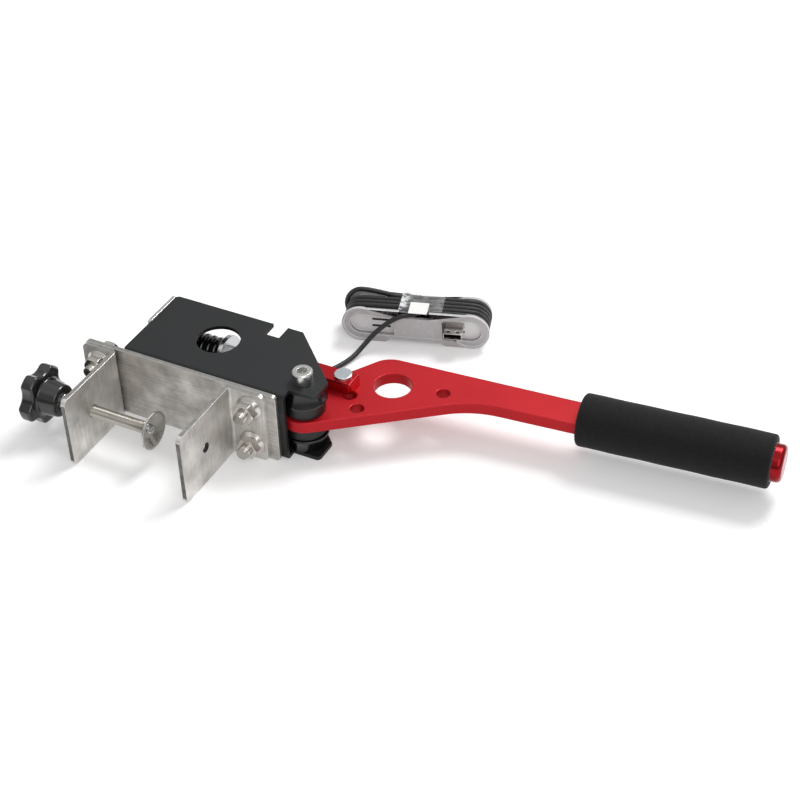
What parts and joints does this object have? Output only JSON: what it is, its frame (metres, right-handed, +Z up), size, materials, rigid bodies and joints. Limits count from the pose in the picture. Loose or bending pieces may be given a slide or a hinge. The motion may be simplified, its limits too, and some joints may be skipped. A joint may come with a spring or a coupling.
{
  "type": "sim racing handbrake",
  "caption": "Sim racing handbrake on its side: folded black housing with a table clamp, sprung red lever with foam grip, and its cable on a winder.",
  "frame": {"origin": "on the lever's pivot axis, on the surface that the part lies on", "axes": "+X along the housing towards the lever's tip, +Y from the clamp side to the housing's open side, +Z up along the pivot axis"},
  "size_m": [0.4442, 0.2485, 0.058],
  "materials": {
    "black_sheet": "fine satin powder coat",
    "stainless": "brushed",
    "zinc_steel": "bright zinc plated",
    "black_steel": "glossy black coat",
    "matt_black": "matt",
    "red_anodised": "satin anodised",
    "grip_foam": "closed-cell foam, matt",
    "bare_aluminium": "turned",
    "bronze": "turned",
    "gloss_black": "glossy",
    "board_green": "solder resist",
    "cable_black": "smooth sheath",
    "frosted": "frosted, translucent",
    "clear_film": "clear tape",
    "white_paper": "bare paper"
  },
  "bodies": {
    "frame": {"housing_channel": "black_sheet", "end_plate": "black_sheet", "end_plate_screws": "zinc_steel", "back_plate": "stainless", "screw_jaw": "stainless", "fixed_jaw": "stainless", "mounting_bolts": "zinc_steel", "flange_nuts": "zinc_steel", "jaw_nut": "zinc_steel", "pivot_bolt": "black_steel", "pivot_nut": "zinc_steel", "upper_collar": "black_steel", "lower_collar": "black_steel", "upper_washer": "matt_black", "lower_washer": "matt_black", "sensor_case": "matt_black", "sensor_lid": "matt_black", "circuit_board": "board_green", "sensor_case_screws": "zinc_steel", "sensor_lid_screws": "zinc_steel", "cable_gland": "cable_black", "return_spring": "black_steel", "cable_winder": "frosted", "usb_cable_lead": "cable_black", "usb_cable_hank": "cable_black", "usb_cable_tail": "cable_black", "usb_plug_shell": "stainless", "usb_plug_tongue": "matt_black", "usb_plug_body": "matt_black", "winder_tape": "clear_film", "cable_tag": "white_paper"},
    "lever": {"lever": "red_anodised", "pivot_bush": "bronze", "lever_magnet": "zinc_steel", "grip_tube": "bare_aluminium", "handle_pin": "zinc_steel", "foam_grip": "grip_foam", "end_cap": "red_anodised"},
    "clevis": {"clevis": "red_anodised", "clevis_pin": "zinc_steel", "clevis_clip": "black_steel", "push_rod": "zinc_steel", "clevis_jam_nut": "zinc_steel", "spring_seat": "zinc_steel", "seat_nuts": "zinc_steel", "rod_stop_nut": "zinc_steel"},
    "clamp_pad": {"clamp_pad": "stainless"},
    "clamp_screw": {"clamp_screw": "zinc_steel", "star_knob": "gloss_black", "knob_insert": "zinc_steel", "pad_screw": "zinc_steel"}
  },
  "joints": [
    {"name": "lever_pull", "type": "hinge", "parent": "frame", "child": "lever", "pos_m": [0, 0, 0.025], "axis": [0, 0, 1], "range_deg": [0, 18], "stiffness_Nm_per_rad": 25, "deforming": ["return_spring"]},
    {"name": "clevis_turn", "type": "hinge", "parent": "lever", "child": "clevis", "pos_m": [0.0114, 0.029, 0.025], "axis": [0, 0, 1], "range_deg": [-17.1, 0]},
    {"name": "clamp_travel", "type": "slide", "parent": "frame", "child": "clamp_pad", "axis": [1, 0, 0], "range_m": [-0.039, 0.011]},
    {"name": "clamp_turn", "type": "hinge", "parent": "clamp_pad", "child": "clamp_screw", "pos_m": [-0.11, -0.0545, 0.025], "axis": [1, 0, 0], "range_deg": [-11230, 3166]}
  ],
  "couplings": [
    {"joint": "clevis_turn", "follows": "lever_pull", "ratio": -0.9447},
    {"joint": "clamp_travel", "follows": "clamp_turn", "m_per_rad": 0.00019894}
  ]
}
